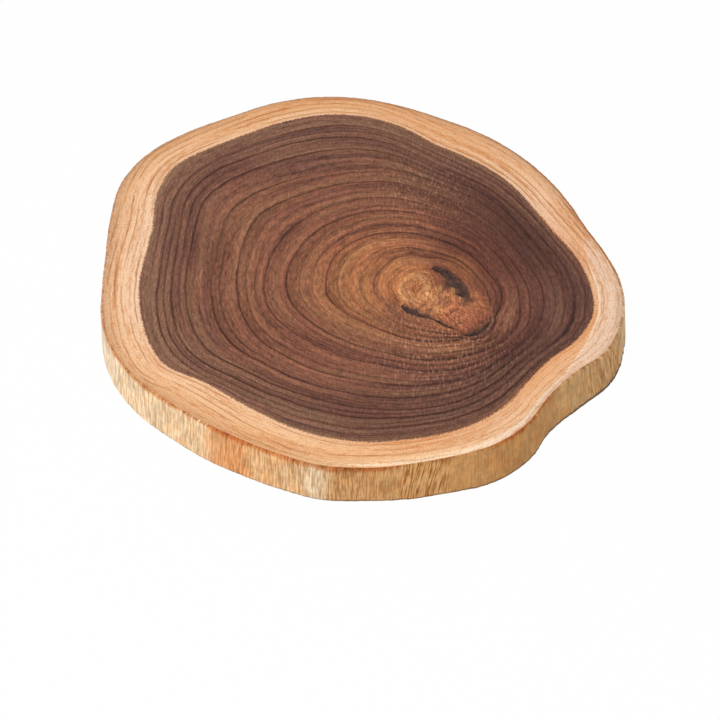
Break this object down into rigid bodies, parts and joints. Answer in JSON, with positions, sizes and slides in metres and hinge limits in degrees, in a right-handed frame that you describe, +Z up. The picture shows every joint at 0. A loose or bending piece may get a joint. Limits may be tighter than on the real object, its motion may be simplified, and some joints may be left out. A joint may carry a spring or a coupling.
{
  "type": "live edge cutting board",
  "caption": "Slice across a log as a cutting or serving board: dark heartwood ringed by pale sapwood, flat sanded faces and a wavy natural edge with the bark peeled off.",
  "frame": {"origin": "under the middle of the board's box, on the face that it rests on", "axes": "+Z up out of the working face, +X along the board's widest way, +Y towards the back of the pictured view"},
  "size_m": [0.2986, 0.2942, 0.028],
  "materials": {
    "heartwood": "sanded across the grain and oiled",
    "sapwood": "sanded across the grain and oiled",
    "inner_bark": "peeled, fibrous and dry",
    "pith": "sanded across the grain and oiled",
    "knot": "sanded across the grain and oiled",
    "bark": "dry, rough and sunk below the faces"
  },
  "bodies": {
    "root": {"heartwood_disc": "heartwood", "sapwood_ring": "sapwood", "inner_bark_edge": "inner_bark", "pith": "pith", "branch_knot": "knot", "bark_pocket_back": "bark", "bark_pocket_front": "bark", "bark_pocket_side": "bark"}
  },
  "joints": []
}
